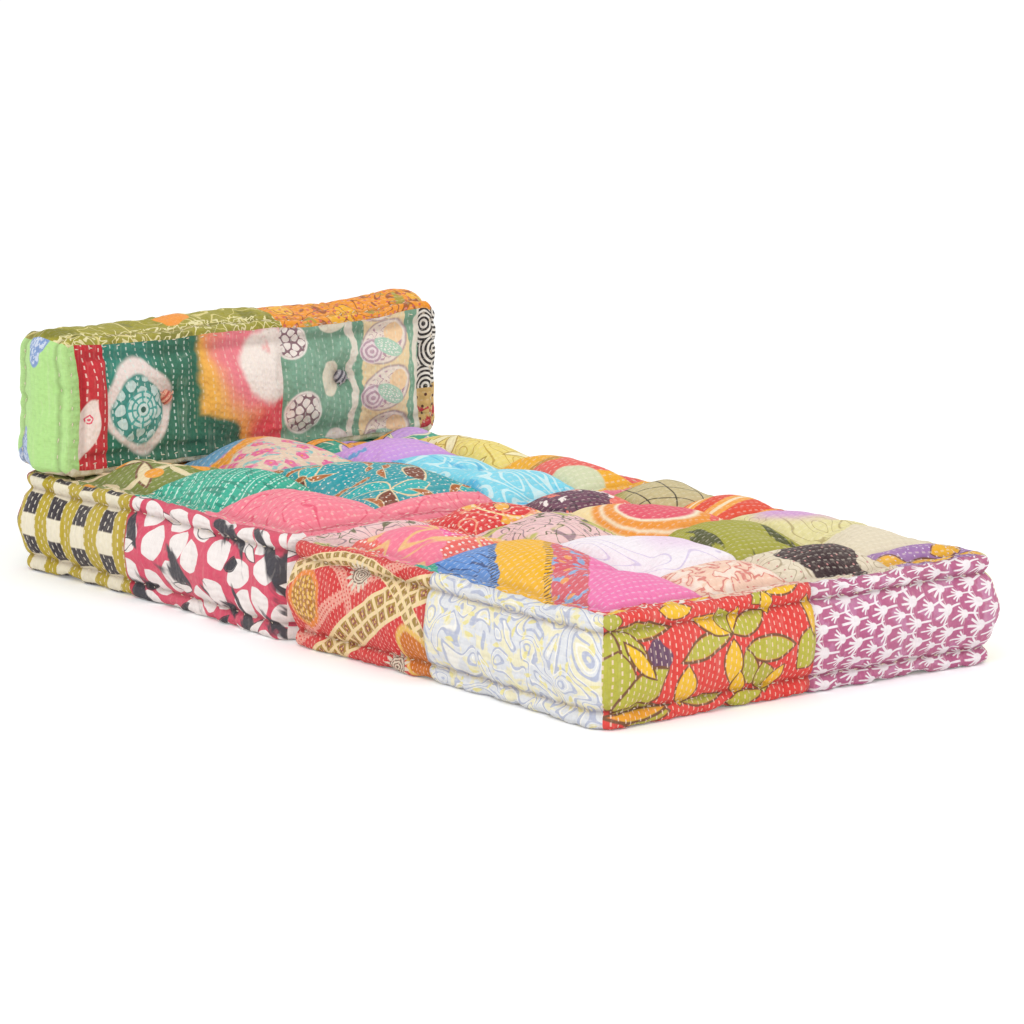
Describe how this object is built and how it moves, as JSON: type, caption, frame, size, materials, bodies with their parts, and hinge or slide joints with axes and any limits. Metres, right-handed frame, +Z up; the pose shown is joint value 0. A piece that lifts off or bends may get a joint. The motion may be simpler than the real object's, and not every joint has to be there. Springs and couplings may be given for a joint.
{
  "type": "modular pouf",
  "caption": "Low floor pouf of loose square tufted seat cushions in a row with a loose tufted backrest cushion, all box shaped with rolled edges and patchwork covers.",
  "frame": {"origin": "on the floor, in the middle of the row of two seat cushions", "axes": "+X to the right as seen from the front end, +Y along the row to the backrest, +Z up"},
  "size_m": [0.7188, 1.4192, 0.3717],
  "materials": {
    "cotton_wadding": "packed cotton wadding, off-white and matt",
    "tufting_twine": "waxed cotton twine",
    "tuft_knots": "knotted cotton yarn in mixed colours",
    "rolled_edges": "patchwork cotton over a stuffed roll, hand stitched, matt and creased",
    "backrest_face_cloth": "quilted printed cotton patchwork with running stitch, matt",
    "backrest_band_cloth": "quilted printed cotton patchwork with running stitch, matt",
    "underside_cloth": "quilted printed cotton patchwork, plainer, matt",
    "seat_top_cloth": "quilted printed cotton patchwork with running stitch, matt",
    "seat_band_cloth": "quilted printed cotton patchwork with running stitch, matt"
  },
  "bodies": {
    "rear_seat": {"rear_seat_band_back_left": "seat_band_cloth", "rear_seat_band_back_right": "seat_band_cloth", "rear_seat_band_front": "seat_band_cloth", "rear_seat_band_left_back": "seat_band_cloth", "rear_seat_band_left_front": "seat_band_cloth", "rear_seat_band_right_back": "seat_band_cloth", "rear_seat_band_right_front": "seat_band_cloth", "rear_seat_stuffing": "cotton_wadding", "rear_seat_top_panel": "seat_top_cloth", "rear_seat_top_roll": "rolled_edges", "rear_seat_top_tufts": "tuft_knots", "rear_seat_tuft_ties": "tufting_twine", "rear_seat_underside_panel": "underside_cloth", "rear_seat_underside_roll": "rolled_edges", "rear_seat_underside_tufts": "tuft_knots"},
    "front_seat": {"front_seat_band_back": "seat_band_cloth", "front_seat_band_front_left": "seat_band_cloth", "front_seat_band_front_right": "seat_band_cloth", "front_seat_band_left_back": "seat_band_cloth", "front_seat_band_left_front": "seat_band_cloth", "front_seat_band_right_back": "seat_band_cloth", "front_seat_band_right_front": "seat_band_cloth", "front_seat_stuffing": "cotton_wadding", "front_seat_top_panel": "seat_top_cloth", "front_seat_top_roll": "rolled_edges", "front_seat_top_tufts": "tuft_knots", "front_seat_tuft_ties": "tufting_twine", "front_seat_underside_panel": "underside_cloth", "front_seat_underside_roll": "rolled_edges", "front_seat_underside_tufts": "tuft_knots"},
    "backrest": {"backrest_back_panel": "backrest_face_cloth", "backrest_back_roll": "rolled_edges", "backrest_back_tufts": "tuft_knots", "backrest_band_left_end": "backrest_band_cloth", "backrest_band_right_end": "backrest_band_cloth", "backrest_band_top_left": "backrest_band_cloth", "backrest_band_top_right": "backrest_band_cloth", "backrest_band_underside": "backrest_band_cloth", "backrest_front_panel": "backrest_face_cloth", "backrest_front_roll": "rolled_edges", "backrest_front_tufts": "tuft_knots", "backrest_stuffing": "cotton_wadding", "backrest_tuft_ties": "tufting_twine"}
  },
  "joints": [
    {"name": "front_seat_push_away", "type": "slide", "parent": "rear_seat", "child": "front_seat", "axis": [0, -1, 0], "range_m": [0, 0.4]},
    {"name": "backrest_lift_off", "type": "slide", "parent": "rear_seat", "child": "backrest", "axis": [0, 0, 1], "range_m": [0, 0.3]}
  ]
}
